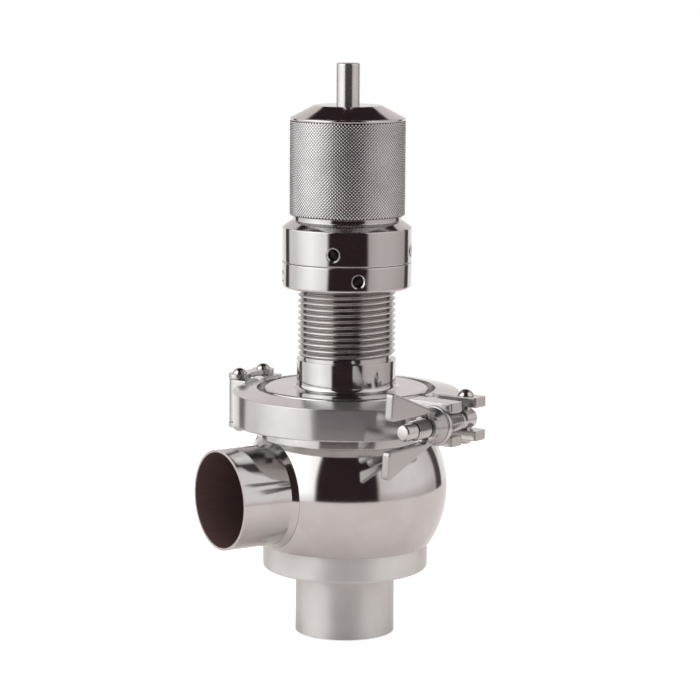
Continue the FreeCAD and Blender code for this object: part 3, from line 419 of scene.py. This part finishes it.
# what each of the model's pieces is made of
MADE_OF = {
    "port_steel": ("side_port_tube",),
    "polished_steel": ("ball_body", "body_flange", "bonnet", "hinge_pin_front", "hinge_pin_rear", "bolt_pin",
                       "valve_plug", "seal_keeper", "plug_nut", "lower_spring_plate",
                       "upper_spring_plate"),
    "ring_steel": ("lock_ring", "adjusting_cap"),
    "ground_steel": ("stem",),
    "bolt_steel": ("swing_bolt", "nut_collar"),
    "turned_steel": ("seat_ring", "bottom_port_tube"),
    "cast_steel": ("clamp_half_front", "clamp_half_rear", "hinge_link_top", "hinge_link_bottom"),
    "wing_steel": ("wing_nut",),
    "drawn_wire": ("spring", "snap_ring"),
    "black_rubber": ("body_gasket", "stem_seal", "plug_seal"),
    "pale_plastic": ("guide_bush", "stem_bush", "thrust_washer", "lock_washer"),
}
EDGE_ANGLE = math.radians(22)


def dress(node, paint):
    """Gives a node of the model its material, and clean shading over its round and flat faces."""
    thing = frame["nodes"][node]
    thing.data.materials.clear()
    thing.data.materials.append(paint)
    thing.data.polygons.foreach_set("use_smooth", [True] * len(thing.data.polygons))
    weld = thing.modifiers.new("weld", "WELD")
    weld.merge_threshold = 0.001 * MM
    split = thing.modifiers.new("edges", "EDGE_SPLIT")
    split.split_angle = EDGE_ANGLE
    thing.modifiers.new("shading", "WEIGHTED_NORMAL")


def new_piece(name, points, faces, paint, body, ridge=None):
    """A mesh piece that rides on a body of the model; ridge holds each point's share of the height."""
    mesh = bpy.data.meshes.new(name)
    mesh.from_pydata(points, [], faces)
    mesh.update()
    mesh.polygons.foreach_set("use_smooth", [True] * len(mesh.polygons))
    if ridge:
        mesh.attributes.new("ridge", "FLOAT", "POINT").data.foreach_set("value", ridge)
    mesh.materials.append(paint)
    piece = bpy.data.objects.new(name, mesh)
    scene.collection.objects.link(piece)
    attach(piece, body)
    return piece


# how deep a thread's foot lies in its shank
THREAD_SINK = 0.04 * MM


def screw_thread(name, root, crest, pitch, length, place, paint, body, steps=96):
    """A right-hand thread: a ridge wound round a shank, fading out at both ends.

    place is the matrix that puts the shank's start at the origin with its axis along Z.
    """
    section = [(0.1 * i - 0.5, 0.5 + 0.5 * math.cos(math.tau * (0.1 * i - 0.5))) for i in range(11)]
    foot = root - THREAD_SINK
    count = int(steps * (length / pitch - 1.0))
    points, faces, ridge = [], [], []
    for i in range(count + 1):
        angle = math.tau * i / steps
        rise = pitch * (0.5 + i / steps)
        fade = min(1.0, i / (0.5 * steps), (count - i) / (0.5 * steps))
        for along, out in section:
            radius = foot + (crest - foot) * out * fade
            spot = Vector((radius * math.cos(angle), radius * math.sin(angle), rise + along * pitch))
            points.append(place @ spot)
            ridge.append(out)
    wide = len(section)
    for i in range(count):
        for j in range(wide - 1):
            a = i * wide + j
            faces.append((a, a + 1, a + wide + 1, a + wide))
        faces.append((i * wide + wide - 1, i * wide, (i + 1) * wide, (i + 1) * wide + wide - 1))
    return new_piece(name, points, faces, paint, body, ridge)


# half the width of a diamond's flat top, as a share of half the pitch, and the depth of the grooves
BLUNT = 0.30
GROOVE_DEPTH = 0.40 * MM


def knurl(name, root, crest, low, high, pitch, paint, body):
    """Small blunt diamonds in crossed rows round a cylinder, with grooves between them."""
    count = 2 * round(math.tau * root / pitch)
    rows = 2 * round((high - low) / pitch)
    points, faces, ridge = [], [], []

    def point(across, up, radius, share):
        angle = math.tau * across / count
        points.append((radius * math.cos(angle), radius * math.sin(angle), low + (high - low) * up / rows))
        ridge.append(share)
        return len(points) - 1

    floor = {(i, j): point(i, j, crest - GROOVE_DEPTH if 0 < j < rows else root + 0.02 * MM, 0.0)
             for j in range(rows + 1) for i in range(count) if (i + j) % 2}
    for j in range(rows + 1):
        for i in range(j % 2, count, 2):
            left, right = floor[(i - 1) % count, j], floor[(i + 1) % count, j]
            if j == 0:
                faces.append((left, right, floor[i, 1]))
            elif j == rows:
                faces.append((right, left, floor[i, j - 1]))
            else:
                corners = (left, floor[i, j - 1], right, floor[i, j + 1])
                steps = ((-BLUNT, 0), (0, -BLUNT), (BLUNT, 0), (0, BLUNT))
                top = [point(i + dx, j + dy, crest, 1.0) for dx, dy in steps]
                faces.append(tuple(top))
                faces += [(corners[n], corners[(n + 1) % 4], top[(n + 1) % 4], top[n]) for n in range(4)]
    return new_piece(name, points, faces, paint, body, ridge)


def rounded(radius, low, high, round_size, steps=6):
    """The outline of a cylinder with a round upper edge, as (radius, height) points."""
    arc = [math.pi / 2 * i / steps for i in range(steps + 1)]
    return [(radius, low)] + [(radius - round_size * (1 - math.cos(a)), high - round_size * (1 - math.sin(a)))
                              for a in arc]


def turned_piece(name, outline, place, paint, body, steps=96):
    """A piece turned from an outline of (radius, height) points; place carries its axis as above."""
    points, faces = [], []
    for j, (radius, height) in enumerate(outline):
        for i in range(steps):
            angle = math.tau * i / steps
            points.append(place @ Vector((radius * math.cos(angle), radius * math.sin(angle), height)))
            if j:
                a, b = (j - 1) * steps + i, (j - 1) * steps + (i + 1) % steps
                faces.append((a, b, b + steps, a + steps))
    return new_piece(name, points, faces, paint, body)


add_camera()
build_world()
add_floor()
for material, nodes in MADE_OF.items():
    for node in nodes:
        dress(node, paints[material])

THREAD_ROOT, THREAD_CREST, THREAD_PITCH = 23.2 * MM, 25.0 * MM, 3.0 * MM
FOOT_TOP = 141.9 * MM
thread_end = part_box("lock_ring")[0][2] + 3 * THREAD_PITCH
screw_thread("bonnet_thread", THREAD_ROOT, THREAD_CREST, THREAD_PITCH, thread_end - FOOT_TOP,
             Matrix.Translation((0, 0, FOOT_TOP)), paints["thread_steel"], "valve_body")

# the grip: its knurl, and the plain rim above it
GRIP_LOW, GRIP_HIGH, GRIP_ROOT, KNURL_HEIGHT = 215.7 * MM, 265.1 * MM, 28.85 * MM, 0.5 * MM
KNURL_PITCH = 1.72 * MM
RIM_HEIGHT, RIM_ROUND = 1.3 * MM, 0.7 * MM
knurl("cap_knurl", GRIP_ROOT, GRIP_ROOT + KNURL_HEIGHT, GRIP_LOW, GRIP_HIGH - RIM_HEIGHT, KNURL_PITCH,
      paints["knurled_steel"], "cap")
rim = [(GRIP_ROOT - KNURL_HEIGHT, GRIP_HIGH - RIM_HEIGHT)]
rim += rounded(GRIP_ROOT + KNURL_HEIGHT, GRIP_HIGH - RIM_HEIGHT, GRIP_HIGH + 0.1 * MM, RIM_ROUND)
turned_piece("cap_rim", rim, Matrix.Identity(4), paints["polished_steel"], "cap")

# the clamp's bolt: its pivot and the direction to its free end
swing = next(joint for joint in frame["joints"] if joint["name"] == "bolt_swing")
feed = next(joint for joint in frame["joints"] if joint["name"] == "nut_feed")
pivot, along = Vector(swing["pos_m"]), Vector(feed["axis"]).normalized()
BOLT_ROOT, BOLT_CREST, BOLT_PITCH = 4.1 * MM, 5.0 * MM, 1.5 * MM
EYE_FRONT, BOLT_END = 6.1 * MM, 48.0 * MM
bolt_turn = Vector((0, 0, 1)).rotation_difference(along).to_matrix().to_4x4()
screw_thread("bolt_thread", BOLT_ROOT, BOLT_CREST, BOLT_PITCH, BOLT_END - EYE_FRONT,
             Matrix.Translation(pivot + along * EYE_FRONT) @ bolt_turn, paints["fine_thread_steel"],
             "swing_bolt", steps=40)
PILOT_RADIUS, PILOT_ROUND, PILOT_END = 4.2 * MM, 1.5 * MM, 54.6 * MM
pilot = rounded(PILOT_RADIUS, BOLT_END - BOLT_PITCH, PILOT_END, PILOT_ROUND) + [(0.01 * MM, PILOT_END)]
turned_piece("bolt_pilot", pilot, Matrix.Translation(pivot) @ bolt_turn, paints["bolt_steel"],
             "swing_bolt", steps=48)

scene.view_settings.view_transform = "Standard"
